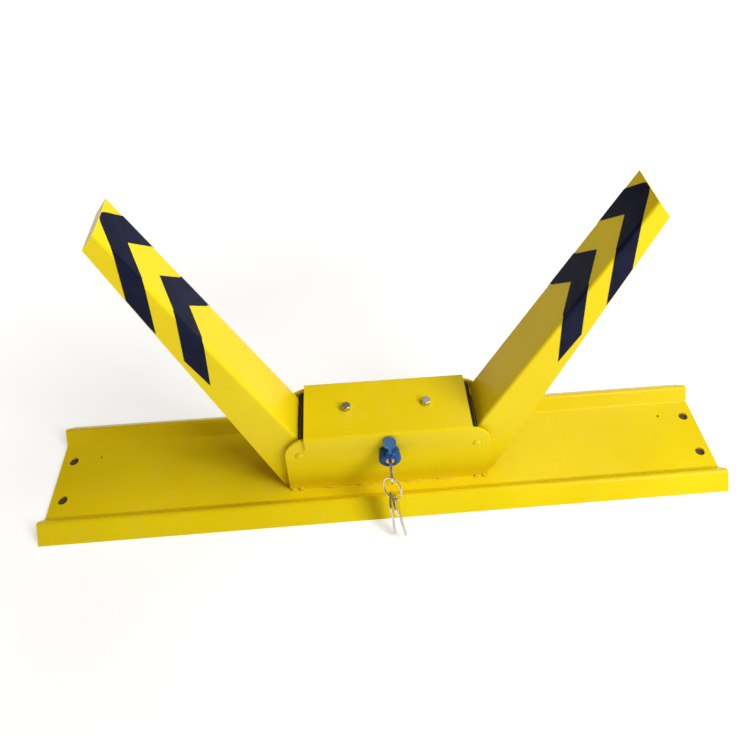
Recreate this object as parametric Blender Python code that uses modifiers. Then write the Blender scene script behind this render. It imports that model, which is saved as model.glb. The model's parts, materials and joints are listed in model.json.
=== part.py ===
"""Folding parking lock: a steel tray, a lock box and two hinged arms that stand up in a V.

Frame: X along the tray, Y towards the back, Z up, origin on the ground at the tray's centre.
The arms are modelled raised, the latch bolts withdrawn and the key in the lock.
"""

import math

import bmesh
import bpy
from mathutils import Matrix, Vector

MM = 0.001
GAP = 0.3 * MM                      # between a piece and its neighbour
FINE = 0.01 * MM                    # welding distance for converted curves

# tray
TRAY_LENGTH = 700 * MM
SHEET = 3.0 * MM
FOOT_Y, RIDGE_Y, VALLEY_Y = 73.5 * MM, 57.0 * MM, 44.6 * MM
RIDGE_Z = 17.4 * MM                 # where the two slopes would meet; the bend rounds it lower
TRAY_BEND = 3.6 * MM
ANCHOR_X, ANCHOR_Y, ANCHOR_R = 338.4 * MM, 24.1 * MM, 5.0 * MM
JIG_X, JIG_Y, JIG_R = 310.0 * MM, 27.0 * MM, 1.5 * MM

# lock box: two cheeks and a cover
CHEEK_SHEET = 3.0 * MM
CHEEK_Y = 32.6 * MM                 # outer face
CHEEK_IN = CHEEK_Y - CHEEK_SHEET
CHEEK_TOP, CHEEK_HALF, CHEEK_FOOT_HALF = 87.0 * MM, 101.5 * MM, 103.8 * MM
CHEEK_CORNER = 26.0 * MM
COVER_SHEET = 2.0 * MM
COVER_HALF_LENGTH = 80.6 * MM
COVER_TOP = 90.8 * MM
COVER_Y = 34.9 * MM
COVER_LIP_Z = 72.7 * MM
BOLT_X = 39.3 * MM
BOLT_R, BOLT_HEX, BOLT_HEAD = 2.5 * MM, 4.2 * MM, 4.8 * MM   # shank, half the flats, head height

# arms, in their own axes: u runs from the pivot to the tip, n out of the top face
PIVOT_X, PIVOT_Z, PIVOT_R = 87.2 * MM, 62.7 * MM, 4.0 * MM
ARM_ANGLE = math.radians(66.0)
ARM_TIP_U, ARM_ROOT_U = 282.0 * MM, 17.6 * MM
ARM_TOP_N = 8.15 * MM
ARM_TIP_CUT_U, ARM_TIP_CUT_N = 274.5 * MM, -8.45 * MM
ARM_HEEL_N = -38.15 * MM            # the lower edge, level with the pivot
ARM_HALF_ROOT, ARM_HALF_TIP = 26.8 * MM, 21.8 * MM
ARM_SHEET = 2.5 * MM
ARM_BEND = 3.0 * MM
HEEL_R = 59.0 * MM                  # clears the tray when the arm swings
EYE_R = 12.0 * MM                   # sheet round the pivot
SLEEVE_R = 7.0 * MM
STOP_R = 4.5 * MM
STOP_X, STOP_Z = 5.3 * MM, 16.5 * MM  # from the pivot, towards the middle and up
WASHER_R, WASHER_T = 10.0 * MM, 2.2 * MM

# lock and latch
LOCK_Z = 60.5 * MM
CAP_R, CAP_FRONT_Y, CAP_WALL = 11.0 * MM, 46.0 * MM, 1.7 * MM
BARREL_HEAD_R, BARREL_R, BARREL_BORE, BARREL_BACK_Y = 9.2 * MM, 8.7 * MM, 5.7 * MM, 8.0 * MM
PLUG_R, PLUG_FACE_R = 5.4 * MM, 4.4 * MM
CRANK_R = 9.5 * MM                  # cam pins from the lock's axis
CAM_R, CAM_T, CAM_BACK_Y = 13.5 * MM, 3.0 * MM, 2.0 * MM
CAM_PIN_R = 2.0 * MM
SLOT_HALF = CAM_PIN_R + 0.6 * MM
TRAVEL = 2 * CRANK_R * math.sin(math.radians(45))
LATCH_Z, LATCH_HALF = 54.0 * MM, 4.0 * MM
LATCH_TIP_IN = 6.5 * MM             # tip to pivot when shot
LATCH_Y = {-1: (1.0 * MM, 5.0 * MM), 1: (6.0 * MM, 10.0 * MM)}

# dust cover, hinged above the cap
HINGE_Y, HINGE_Z = 44.2 * MM, LOCK_Z + CAP_R + 1.9 * MM
HINGE_PIN_R = 0.6 * MM
EAR_INNER, EAR_OUTER = 1.8 * MM, 3.4 * MM
FLAP_LEAN = math.radians(28)

# key, ring and spare keys
KEY_T, KEY_BOW_R, KEY_HOLE_R = 2.2 * MM, 11.0 * MM, 2.6 * MM
KEY_BLADE, KEY_BLADE_HALF = 24.0 * MM, 3.4 * MM
KEY_HOLE_FROM_BOW = 6.0 * MM
BOW_CENTRE_Y = 58.5 * MM
RING_R, RING_WIRE = 11.0 * MM, 0.9 * MM
RING_LEAN, RING_TWIST = math.radians(28), math.radians(44)
SPARE_T, SPARE_SPACING = 2.0 * MM, 2.4 * MM
SPARE_TWIST = math.radians(8)
SPARE_LEAN = {1: math.radians(27), 2: math.radians(29)}
SPARE_FAN = {1: math.radians(-3), 2: math.radians(-13)}

SIDES = {"left": -1, "right": 1}

# colours: base colour, roughness, metallic
PAINT = ("yellow_powder_coat", (0.85, 0.62, 0.02), 0.38, 0.0)
ZINC = ("zinc_plated_steel", (0.62, 0.63, 0.65), 0.35, 1.0)
STEEL = ("bare_steel", (0.42, 0.42, 0.43), 0.45, 1.0)
BRASS = ("brass", (0.72, 0.50, 0.26), 0.32, 1.0)
NICKEL = ("nickel_plate", (0.78, 0.77, 0.74), 0.22, 1.0)
BLUE = ("blue_plastic", (0.01, 0.10, 0.42), 0.35, 0.0)
PALE_BLUE = ("pale_blue_plastic", (0.07, 0.22, 0.52), 0.40, 0.0)
NYLON = ("nylon", (0.75, 0.74, 0.70), 0.55, 0.0)
FILM = ("dark_reflective_film", (0.012, 0.014, 0.03), 0.45, 0.0)

for old in list(bpy.data.objects):
    bpy.data.objects.remove(old, do_unlink=True)
PARTS = bpy.data.collections.new("folding_parking_lock")
CUTTERS = bpy.data.collections.new("cutters")
for group in (PARTS, CUTTERS):
    bpy.context.scene.collection.children.link(group)


# ---------------------------------------------------------------- helpers

def material(spec):
    name, colour, roughness, metallic = spec
    found = bpy.data.materials.get(name)
    if found:
        return found
    made = bpy.data.materials.new(name)
    made.use_nodes = True
    shader = made.node_tree.nodes["Principled BSDF"]
    shader.inputs["Base Color"].default_value = (*colour, 1.0)
    shader.inputs["Roughness"].default_value = roughness
    shader.inputs["Metallic"].default_value = metallic
    return made


def new_object(name, mesh, spec, place=Matrix(), collection=PARTS):
    obj = bpy.data.objects.new(name, mesh)
    collection.objects.link(obj)
    obj.matrix_world = place
    mesh.materials.clear()
    mesh.materials.append(material(spec))
    if collection is CUTTERS:
        obj.hide_render = True
        obj.display_type = "WIRE"
    return obj


def from_bmesh(name, bm, spec, place=Matrix(), collection=PARTS):
    bmesh.ops.recalc_face_normals(bm, faces=bm.faces)
    mesh = bpy.data.meshes.new(name)
    bm.to_mesh(mesh)
    bm.free()
    mesh.shade_smooth()
    mesh.set_sharp_from_angle(angle=math.radians(35))
    return new_object(name, mesh, spec, place, collection)


def arc(cx, cy, r, start, end, steps):
    """Points on an arc, angles in degrees, both ends included."""
    turns = [math.radians(start + (end - start) * i / steps) for i in range(steps + 1)]
    return [(cx + r * math.cos(a), cy + r * math.sin(a)) for a in turns]


def circle(cx, cy, r, steps=24):
    return arc(cx, cy, r, 0, 360, steps)[:-1]


def box_outline(x0, y0, x1, y1):
    return [(x0, y0), (x1, y0), (x1, y1), (x0, y1)]


def rounded(points, radius, steps=4):
    """An open polyline with each inner corner replaced by an arc."""
    result = [points[0]]
    for before, corner, after in zip(points, points[1:], points[2:]):
        corner_v = Vector(corner)
        to_before = (Vector(before) - corner_v).normalized()
        to_after = (Vector(after) - corner_v).normalized()
        half = to_before.angle(to_after) / 2
        centre = corner_v + (to_before + to_after).normalized() * (radius / math.sin(half))
        start = corner_v + to_before * (radius / math.tan(half)) - centre
        end = corner_v + to_after * (radius / math.tan(half)) - centre
        sweep = start.angle_signed(end)
        for i in range(steps + 1):
            spoke = start.copy()
            spoke.rotate(Matrix.Rotation(-sweep * i / steps, 2))
            result.append(tuple(centre + spoke))
    return result + [points[-1]]


# places for flat outlines: (a, b) on the outline goes to the named world axes
UPRIGHT = Matrix.Rotation(math.radians(90), 4, "X")                      # a to X, b to Z
SIDEWAYS = Matrix(((0, 0, 1, 0), (1, 0, 0, 0), (0, 1, 0, 0), (0, 0, 0, 1)))  # a to Y, b to Z


def at(x=0.0, y=0.0, z=0.0):
    return Matrix.Translation((x, y, z))


def flat_piece(name, outlines, thickness, spec, place=Matrix(), collection=PARTS):
    """A flat outline with holes, centred on its own plane."""
    curve = bpy.data.curves.new(name, "CURVE")
    curve.dimensions = "2D"
    curve.fill_mode = "BOTH"
    curve.extrude = thickness / 2
    for outline in outlines:
        spline = curve.splines.new("POLY")
        spline.points.add(len(outline) - 1)
        for point, (a, b) in zip(spline.points, outline):
            point.co = (a, b, 0, 1)
        spline.use_cyclic_u = True
    flat = bpy.data.objects.new(name + "_outline", curve)
    bpy.context.scene.collection.objects.link(flat)
    bpy.context.view_layer.update()
    solid = flat.evaluated_get(bpy.context.evaluated_depsgraph_get())
    mesh = bpy.data.meshes.new_from_object(solid)
    bpy.data.objects.remove(flat, do_unlink=True)
    bm = bmesh.new()
    bm.from_mesh(mesh)
    bpy.data.meshes.remove(mesh)
    bmesh.ops.remove_doubles(bm, verts=bm.verts, dist=FINE)
    return from_bmesh(name, bm, spec, place, collection)


def cylinder(name, r, y0, y1, x, z, spec, segments=24, collection=PARTS, chamfer=0.0):
    """A round bar along Y."""
    bm = bmesh.new()
    bmesh.ops.create_cone(bm, cap_ends=True, segments=segments, radius1=r, radius2=r, depth=y1 - y0)
    if chamfer:
        rims = [e for e in bm.edges if abs(e.verts[0].co.z - e.verts[1].co.z) < FINE]
        bmesh.ops.bevel(bm, geom=rims, offset=chamfer, segments=2, profile=0.5, affect="EDGES")
    return from_bmesh(name, bm, spec, at(x, (y0 + y1) / 2, z) @ UPRIGHT, collection)


def folded_sheet(name, profile, length, thickness, spec, along="X"):
    """A bent strip: the profile is its outer line, and Solidify gives its thickness inwards."""
    bm = bmesh.new()
    verts = [bm.verts.new((-length / 2, a, b)) for a, b in profile]
    edges = [bm.edges.new(pair) for pair in zip(verts, verts[1:])]
    swept = bmesh.ops.extrude_edge_only(bm, edges=edges)["geom"]
    moved = [g for g in swept if isinstance(g, bmesh.types.BMVert)]
    bmesh.ops.translate(bm, verts=moved, vec=(length, 0, 0))
    mesh = bpy.data.meshes.new(name)
    bm.to_mesh(mesh)
    bm.free()
    mesh.shade_smooth()
    mesh.set_sharp_from_angle(angle=math.radians(35))
    place = Matrix() if along == "X" else Matrix.Rotation(math.radians(90), 4, "Z")
    obj = new_object(name, mesh, spec, place)
    solidify = obj.modifiers.new("thickness", "SOLIDIFY")
    solidify.thickness = thickness
    solidify.offset = -1.0
    solidify.use_even_offset = True
    return obj


def cut(obj, cutter, operation="DIFFERENCE"):
    boolean = obj.modifiers.new(cutter.name, "BOOLEAN")
    boolean.operation = operation
    boolean.solver = "EXACT"
    boolean.object = cutter


def cutter_box(name, low, high):
    bm = bmesh.new()
    bmesh.ops.create_cube(bm, size=1.0)
    middle = [(a + b) / 2 for a, b in zip(low, high)]
    size = [b - a for a, b in zip(low, high)]
    bmesh.ops.scale(bm, vec=size, verts=bm.verts)
    return from_bmesh(name, bm, STEEL, at(*middle), CUTTERS)


def upright_hole(name, x, y, r, z0, z1, segments=20):
    """A cutter for a round hole along Z."""
    bm = bmesh.new()
    bmesh.ops.create_cone(bm, cap_ends=True, segments=segments, radius1=r, radius2=r, depth=z1 - z0)
    return from_bmesh(name, bm, STEEL, at(x, y, (z0 + z1) / 2), CUTTERS)


def turned(name, profile, spec, place=Matrix(), steps=28):
    """A closed profile of (radius, along) points turned about the local Z axis."""
    bm = bmesh.new()
    verts = [bm.verts.new((r, 0, z)) for r, z in profile]
    for pair in zip(verts, verts[1:] + verts[:1]):
        bm.edges.new(pair)
    mesh = bpy.data.meshes.new(name)
    bm.to_mesh(mesh)
    bm.free()
    obj = new_object(name, mesh, spec, place)
    screw = obj.modifiers.new("turn", "SCREW")
    screw.axis = "Z"
    screw.angle = math.radians(360)
    screw.steps = steps
    screw.render_steps = steps
    screw.use_merge_vertices = True
    screw.merge_threshold = FINE
    screw.use_smooth_shade = True
    return obj


def hexagon(r_flat, turn=0.0):
    r = r_flat / math.cos(math.radians(30))
    return [(r * math.cos(math.radians(60 * i + turn)), r * math.sin(math.radians(60 * i + turn)))
            for i in range(6)]


# ---------------------------------------------------------------- tray

def make_tray():
    """One sheet with a roof-shaped rib along each long edge, trimmed level with the ground."""
    spare = 4 * MM
    spare_z = -spare * RIDGE_Z / (FOOT_Y - RIDGE_Y)
    line = [(-FOOT_Y - spare, spare_z), (-RIDGE_Y, RIDGE_Z), (-VALLEY_Y, SHEET),
            (VALLEY_Y, SHEET), (RIDGE_Y, RIDGE_Z), (FOOT_Y + spare, spare_z)]
    tray = folded_sheet("base_plate", rounded(line, TRAY_BEND), TRAY_LENGTH, SHEET, PAINT)
    below = 20 * MM
    cut(tray, cutter_box("floor_cut", (-TRAY_LENGTH, -0.2, -below), (TRAY_LENGTH, 0.2, 0)))
    for side, sign in SIDES.items():
        for end, sign_y in (("front", -1), ("rear", 1)):
            hole = upright_hole(f"{side}_{end}_anchor_hole", sign * ANCHOR_X, sign_y * ANCHOR_Y,
                                ANCHOR_R, -below, below)
            cut(tray, hole)
        jig = upright_hole(f"{side}_jig_hole", sign * JIG_X, JIG_Y, JIG_R, -below, below, 10)
        cut(tray, jig)


# ---------------------------------------------------------------- lock box

def cheek_outline():
    corner_x = CHEEK_HALF - CHEEK_CORNER
    corner_z = CHEEK_TOP - CHEEK_CORNER
    right = [(CHEEK_FOOT_HALF, SHEET + GAP)] + arc(corner_x, corner_z, CHEEK_CORNER, 0, 90, 8)
    left = [(-x, z) for x, z in reversed(right)]
    return right + left


def make_cheeks():
    pivots = [circle(sign * PIVOT_X, PIVOT_Z, PIVOT_R + GAP) for sign in SIDES.values()]
    lock_hole = circle(0, LOCK_Z, BARREL_R + GAP, 28)
    middle = CHEEK_Y - CHEEK_SHEET / 2
    flat_piece("front_cheek", [cheek_outline(), *pivots, lock_hole], CHEEK_SHEET, PAINT,
               at(y=-middle) @ UPRIGHT)
    flat_piece("rear_cheek", [cheek_outline(), *pivots], CHEEK_SHEET, PAINT,
               at(y=middle) @ UPRIGHT)


def make_cover():
    line = [(-COVER_Y, COVER_LIP_Z), (-COVER_Y, COVER_TOP), (COVER_Y, COVER_TOP),
            (COVER_Y, COVER_LIP_Z)]
    cover = folded_sheet("cover", rounded(line, 3.0 * MM), 2 * COVER_HALF_LENGTH, COVER_SHEET, PAINT)
    for side, sign in SIDES.items():
        cut(cover, upright_hole(f"{side}_cover_hole", sign * BOLT_X, 0, BOLT_R + 0.5 * MM,
                                COVER_TOP - 8 * MM, COVER_TOP + 8 * MM))


def make_cover_fixings():
    under = COVER_TOP - COVER_SHEET - GAP
    strap = 3.0 * MM
    nut_height = 4.4 * MM
    shank_tip = 1.5 * MM
    for side, sign in SIDES.items():
        x = sign * BOLT_X
        clear = [(a + x, b) for a, b in circle(0, 0, BOLT_R + 0.5 * MM, 20)]
        bridge = box_outline(x - 10 * MM, -CHEEK_IN + GAP, x + 10 * MM, CHEEK_IN - GAP)
        flat_piece(f"{side}_cover_bridge", [bridge, clear], strap, ZINC, at(z=under - strap / 2))
        nut_top = under - strap - GAP
        thread = [(a + x, b) for a, b in circle(0, 0, BOLT_R + GAP, 20)]
        nut = [(a + x, b) for a, b in hexagon(BOLT_HEX)]
        flat_piece(f"{side}_cover_nut", [nut, thread], nut_height, ZINC,
                   at(z=nut_top - nut_height / 2))
        make_hex_bolt(f"{side}_cover_bolt", x, COVER_TOP + GAP, nut_top - nut_height - shank_tip)


def make_hex_bolt(name, x, seat_z, end_z):
    """A hexagon bolt along Z with its head standing on seat_z."""
    middle_z = seat_z + BOLT_HEAD / 2
    head = flat_piece(name, [[(a + x, b) for a, b in hexagon(BOLT_HEX, 20)]], BOLT_HEAD, ZINC,
                      at(z=middle_z))
    cut(head, upright_hole(name + "_shank", x, 0, BOLT_R, end_z, middle_z), "UNION")


# ---------------------------------------------------------------- arms

def arm_half_width(u):
    return ARM_HALF_ROOT + (ARM_HALF_TIP - ARM_HALF_ROOT) * u / ARM_TIP_U


def arm_lower_edge(u):
    return ARM_HEEL_N + (ARM_TIP_CUT_N - ARM_HEEL_N) * u / ARM_TIP_CUT_U


def from_world(x, z):
    """(u, n) of a point given from the pivot: x outwards from the middle, z up."""
    c, s = math.cos(ARM_ANGLE), math.sin(ARM_ANGLE)
    return (x * c + z * s, -x * s + z * c)


def arm_outline():
    """The arm's side view in (u, n), from the top face's root end clockwise round the tip."""
    slope = (ARM_TIP_CUT_N - ARM_HEEL_N) / ARM_TIP_CUT_U
    a, b, c = 1 + slope ** 2, 2 * slope * ARM_HEEL_N, ARM_HEEL_N ** 2 - HEEL_R ** 2
    heel_u = (-b - math.sqrt(b * b - 4 * a * c)) / (2 * a)
    heel_start = math.degrees(math.atan2(arm_lower_edge(heel_u), heel_u))
    heel_inner = from_world(-EYE_R, -math.sqrt(HEEL_R ** 2 - EYE_R ** 2))
    heel_end = math.degrees(math.atan2(heel_inner[1], heel_inner[0]))
    heel = arc(0, 0, HEEL_R, heel_start, heel_end, 8)
    eye = [from_world(x, z) for x, z in arc(0, 0, EYE_R, 180, 90, 5)]
    return [(ARM_ROOT_U, ARM_TOP_N), (ARM_TIP_U, ARM_TOP_N), (ARM_TIP_CUT_U, ARM_TIP_CUT_N),
            *heel, *eye]


def taper(obj):
    """Narrow the arm towards its tip; local X is u, Y is n, Z is across."""
    for vert in obj.data.vertices:
        vert.co.z *= arm_half_width(vert.co.x) / ARM_HALF_ROOT


def arm_place(sign):
    """Local (u, n, across) to the world, for the raised arm on one side."""
    u = Vector((sign * math.cos(ARM_ANGLE), 0, math.sin(ARM_ANGLE)))
    n = Vector((-sign * math.sin(ARM_ANGLE), 0, math.cos(ARM_ANGLE)))
    across = u.cross(n)
    turn = Matrix((u, n, across)).transposed().to_4x4()
    return at(sign * PIVOT_X, 0, PIVOT_Z) @ turn


def make_arm(side, sign):
    place = arm_place(sign)
    arm = flat_piece(f"{side}_arm", [arm_outline()], 2 * ARM_HALF_ROOT, PAINT, place)
    taper(arm)
    bm = bmesh.new()
    bm.from_mesh(arm.data)
    bmesh.ops.dissolve_limit(bm, angle_limit=math.radians(0.5), verts=bm.verts, edges=bm.edges)
    long_edges = [e for e in bm.edges
                  if all(abs(v.co.y - ARM_TOP_N) < FINE for v in e.verts)
                  and abs(e.verts[0].co.x - e.verts[1].co.x) > 0.1]
    bmesh.ops.bevel(bm, geom=long_edges, offset=ARM_BEND, segments=4, profile=0.5, affect="EDGES")
    bm.to_mesh(arm.data)
    bm.free()
    hollow_top = ARM_TOP_N - ARM_SHEET
    lean = (ARM_TIP_U - ARM_TIP_CUT_U) / (ARM_TOP_N - ARM_TIP_CUT_N)
    end_u = ARM_TIP_CUT_U - ARM_SHEET * 1.1
    top_u = end_u + lean * (hollow_top - ARM_TIP_CUT_N)
    low = -0.1
    low_u = end_u + lean * (low - ARM_TIP_CUT_N)
    root_u = ARM_ROOT_U + 0.2 * MM
    hollow = flat_piece(f"{side}_arm_hollow", [[(-0.1, 0.05), (root_u, 0.05), (root_u, hollow_top),
                                                (top_u, hollow_top), (low_u, low), (-0.1, low)]],
                        2 * (ARM_HALF_ROOT - ARM_SHEET), STEEL, place, CUTTERS)
    inner_root = ARM_HALF_ROOT - ARM_SHEET
    for vert in hollow.data.vertices:
        vert.co.z *= (arm_half_width(vert.co.x) - ARM_SHEET) / inner_root
    cut(arm, hollow)
    cut(arm, cylinder(f"{side}_pivot_bore", PIVOT_R + GAP, -0.05, 0.05, sign * PIVOT_X, PIVOT_Z,
                      STEEL, collection=CUTTERS))
    return arm


def make_arm_fittings(side, sign):
    x = sign * PIVOT_X
    inner = ARM_HALF_ROOT - ARM_SHEET - 0.4 * MM
    ring = [circle(0, 0, SLEEVE_R), circle(0, 0, PIVOT_R + GAP)]
    flat_piece(f"{side}_pivot_sleeve", ring, 2 * inner, STEEL, at(x, 0, PIVOT_Z) @ UPRIGHT)
    lug_x = x - sign * 9.5 * MM
    window = box_outline(LATCH_Y[-1][0] - 0.5 * MM, LATCH_Z - LATCH_HALF - 0.5 * MM,
                         LATCH_Y[1][1] + 0.5 * MM, LATCH_Z + LATCH_HALF + 0.5 * MM)
    plate = box_outline(-inner, PIVOT_Z - 16.5 * MM, inner, PIVOT_Z - 0.8 * MM)
    flat_piece(f"{side}_latch_lug", [plate, window], 3.0 * MM, STEEL, at(lug_x) @ SIDEWAYS)


def make_pivot_fixings(side, sign):
    x = sign * PIVOT_X
    head = 1.4 * MM
    tail = 3.6 * MM
    pin = cylinder(f"{side}_pivot_pin", PIVOT_R, -CHEEK_Y - head, CHEEK_Y + tail, x, PIVOT_Z,
                   PAINT, chamfer=0.9 * MM)
    groove_r = PIVOT_R - 0.9 * MM
    clip_y = CHEEK_Y + 1.3 * MM
    around = circle(0, 0, PIVOT_R + 3 * MM)
    groove = flat_piece(f"{side}_clip_groove", [around, circle(0, 0, groove_r)], 1.6 * MM, STEEL,
                        at(x, clip_y, PIVOT_Z) @ UPRIGHT, CUTTERS)
    cut(pin, groove)
    opening = 55
    outer = arc(0, 0, PIVOT_R + 2.4 * MM, -90 + opening, 270 - opening, 18)
    inner = arc(0, 0, groove_r + GAP, 270 - opening, -90 + opening, 14)
    flat_piece(f"{side}_pin_clip", [outer + inner], 1.0 * MM, ZINC,
               at(x, clip_y, PIVOT_Z) @ UPRIGHT)
    middle = (ARM_HALF_ROOT + CHEEK_IN) / 2
    for end, sign_y in (("front", -1), ("rear", 1)):
        flat_piece(f"{side}_{end}_washer", [circle(0, 0, WASHER_R), circle(0, 0, PIVOT_R + GAP)],
                   WASHER_T, NYLON, at(x, sign_y * middle, PIVOT_Z) @ UPRIGHT)
    cylinder(f"{side}_stop_bar", STOP_R, -CHEEK_IN + GAP, CHEEK_IN - GAP, x - sign * STOP_X,
             PIVOT_Z + STOP_Z, STEEL, 20)


def make_chevron(name, sign, lead, trail):
    """A V-shaped strip on the arm's top face, its legs folded down both sides."""
    stand = GAP
    thick = 0.4 * MM
    top_slope, side_slope = 1.06, 1.72
    leg_n = -16.5 * MM
    edge = ARM_HALF_TIP - ARM_BEND
    bend_n = ARM_TOP_N - ARM_BEND
    bend_steps = 4

    def row(start_u, side):
        """Points from the centre line out and down one side."""
        points = []
        for i in range(1, 4):
            v = edge * i / 3
            points.append((start_u - top_slope * v, ARM_TOP_N + stand, v))
        for i in range(1, bend_steps + 1):
            turn = math.radians(90 * i / bend_steps)
            r = ARM_BEND + stand
            u = start_u - top_slope * (edge + ARM_BEND * math.sin(turn)) \
                - side_slope * ARM_BEND * (1 - math.cos(turn))
            half = arm_half_width(u) + stand
            points.append((u, ARM_TOP_N - ARM_BEND + r * math.cos(turn),
                           half - r + r * math.sin(turn)))
        bend_u = points[-1][0]
        rise = (arm_lower_edge(1.0) - arm_lower_edge(0.0)) * side_slope
        above_edge = arm_lower_edge(bend_u - side_slope * bend_n) + 0.6 * MM
        end_n = max(leg_n, above_edge / (1 - rise))
        for i in range(1, 4):
            n = bend_n + (end_n - bend_n) * i / 3
            u = bend_u - side_slope * (bend_n - n)
            points.append((u, n, arm_half_width(u) + stand))
        return [(u, n, side * v) for u, n, v in points]

    def whole_row(start_u):
        centre = [(start_u, ARM_TOP_N + stand, 0.0)]
        points = list(reversed(row(start_u, -1))) + centre + row(start_u, 1)
        return [(min(u, ARM_TIP_U - 0.6 * MM), n, v) for u, n, v in points]

    bm = bmesh.new()
    rows = [[bm.verts.new(p) for p in whole_row(start)] for start in (trail, lead)]
    for i in range(len(rows[0]) - 1):
        bm.faces.new((rows[0][i], rows[1][i], rows[1][i + 1], rows[0][i + 1]))
    film = from_bmesh(name, bm, FILM, arm_place(sign))
    upward = film.data.polygons[len(film.data.polygons) // 2].normal.y
    solidify = film.modifiers.new("thickness", "SOLIDIFY")
    solidify.thickness = thick
    solidify.offset = 1.0 if upward > 0 else -1.0
    return film


def make_arms():
    for side, sign in SIDES.items():
        make_arm(side, sign)
        make_arm_fittings(side, sign)
        make_pivot_fixings(side, sign)
        make_chevron(f"{side}_tip_chevron", sign, 286 * MM, 255 * MM)
        make_chevron(f"{side}_middle_chevron", sign, 220.5 * MM, 185.5 * MM)


# ---------------------------------------------------------------- latch

def make_latch_bolts():
    """Rest is withdrawn. The left bolt is driven from below the lock's axis, the right from above."""
    crank = CRANK_R * math.sin(math.radians(45))
    tip = PIVOT_X - LATCH_TIP_IN - TRAVEL
    low, high = LATCH_Z - LATCH_HALF, LATCH_Z + LATCH_HALF
    shoulder = 19 * MM

    y0, y1 = LATCH_Y[-1]
    slot = box_outline(crank - SLOT_HALF, LOCK_Z - CRANK_R - SLOT_HALF,
                       crank + SLOT_HALF, LOCK_Z - crank + SLOT_HALF)
    yoke_low, yoke_high = slot[0][1] - 3.5 * MM, slot[2][1] + 3.2 * MM
    bar = [(-tip, low), (-8 * MM, low), (-4 * MM, yoke_low), (13 * MM, yoke_low),
           (13 * MM, yoke_high), (-4 * MM, yoke_high), (-8 * MM, high), (-tip, high)]
    flat_piece("left_latch_bolt", [bar, slot], y1 - y0, ZINC, at(y=(y0 + y1) / 2) @ UPRIGHT)

    y0, y1 = LATCH_Y[1]
    slot = box_outline(-crank - SLOT_HALF, LOCK_Z + crank - SLOT_HALF,
                       -crank + SLOT_HALF, LOCK_Z + CRANK_R + SLOT_HALF)
    yoke_low, yoke_high = slot[0][1] - 3.2 * MM, slot[2][1] + 3.5 * MM
    bar = [(tip, high), (shoulder, high), (shoulder, yoke_high), (-13 * MM, yoke_high),
           (-13 * MM, yoke_low), (10 * MM, yoke_low), (10 * MM, low), (tip, low)]
    flat_piece("right_latch_bolt", [bar, slot], y1 - y0, ZINC, at(y=(y0 + y1) / 2) @ UPRIGHT)


def make_bolt_guides():
    """An angle bracket on each side, with a window for its bolt and one screw into the tray."""
    floor = SHEET + GAP
    wall = 2.5 * MM
    top = LATCH_Z + LATCH_HALF + 6 * MM
    width0, width1 = -9 * MM, 15 * MM
    foot = 18 * MM
    for side, sign in SIDES.items():
        wall_x = sign * 44 * MM
        y0, y1 = LATCH_Y[sign]
        window = box_outline(y0 - 0.4 * MM, LATCH_Z - LATCH_HALF - 0.4 * MM,
                             y1 + 0.4 * MM, LATCH_Z + LATCH_HALF + 0.4 * MM)
        guide = flat_piece(f"{side}_bolt_guide", [box_outline(width0, floor, width1, top), window],
                           wall, ZINC, at(wall_x) @ SIDEWAYS)
        screw_x = wall_x - sign * 10 * MM
        middle_y = (width0 + width1) / 2
        inner, outer = sorted((wall_x, wall_x - sign * foot))
        base = flat_piece(f"{side}_guide_foot",
                          [box_outline(inner, width0, outer, width1),
                           [(a + screw_x, b + middle_y) for a, b in circle(0, 0, 2.5 * MM, 16)]],
                          wall, ZINC, at(z=floor + wall / 2), CUTTERS)
        cut(guide, base, "UNION")
        seat = floor + wall + GAP
        head = turned(f"{side}_guide_screw",
                      [(0.0005 * MM, 3.0 * MM), (2.2 * MM, 2.6 * MM), (4.2 * MM, 1.0 * MM),
                       (4.2 * MM, 0), (2.0 * MM, 0), (2.0 * MM, -wall - GAP + 0.1 * MM),
                       (0.0005 * MM, -wall - GAP + 0.1 * MM)],
                      ZINC, at(screw_x, middle_y, seat), 16)
        weld_axis(head)


def weld_axis(obj):
    weld = obj.modifiers.new("weld", "WELD")
    weld.merge_threshold = 0.002 * MM


# ---------------------------------------------------------------- lock

FACE_OUT = at(z=LOCK_Z) @ Matrix.Rotation(math.radians(90), 4, "X")   # local Z to -Y


def make_lock():
    front = CAP_FRONT_Y
    seat = CHEEK_Y + GAP
    bore = BARREL_HEAD_R + GAP
    cap = turned("lock_cap", [(CAP_R, front - 1.6 * MM), (CAP_R, seat), (bore, seat),
                              (bore, front - CAP_WALL), (PLUG_FACE_R + 0.5 * MM, front - CAP_WALL),
                              (PLUG_FACE_R + 0.5 * MM, front), (CAP_R - 1.6 * MM, front),
                              (CAP_R - 0.5 * MM, front - 0.5 * MM)], BLUE, FACE_OUT)
    add_cap_ears(cap)
    head_front = front - CAP_WALL - GAP
    turned("lock_barrel", [(BARREL_HEAD_R, head_front), (BARREL_HEAD_R, seat), (BARREL_R, seat),
                           (BARREL_R, BARREL_BACK_Y), (BARREL_BORE, BARREL_BACK_Y),
                           (BARREL_BORE, head_front)], ZINC, FACE_OUT)
    nut_t = 5 * MM
    flat_piece("lock_nut", [hexagon(12 * MM), circle(0, 0, BARREL_R + GAP, 28)], nut_t, ZINC,
               at(0, -CHEEK_IN + GAP + nut_t / 2, LOCK_Z) @ UPRIGHT)
    make_plug(front, head_front)
    make_cam()


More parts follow.
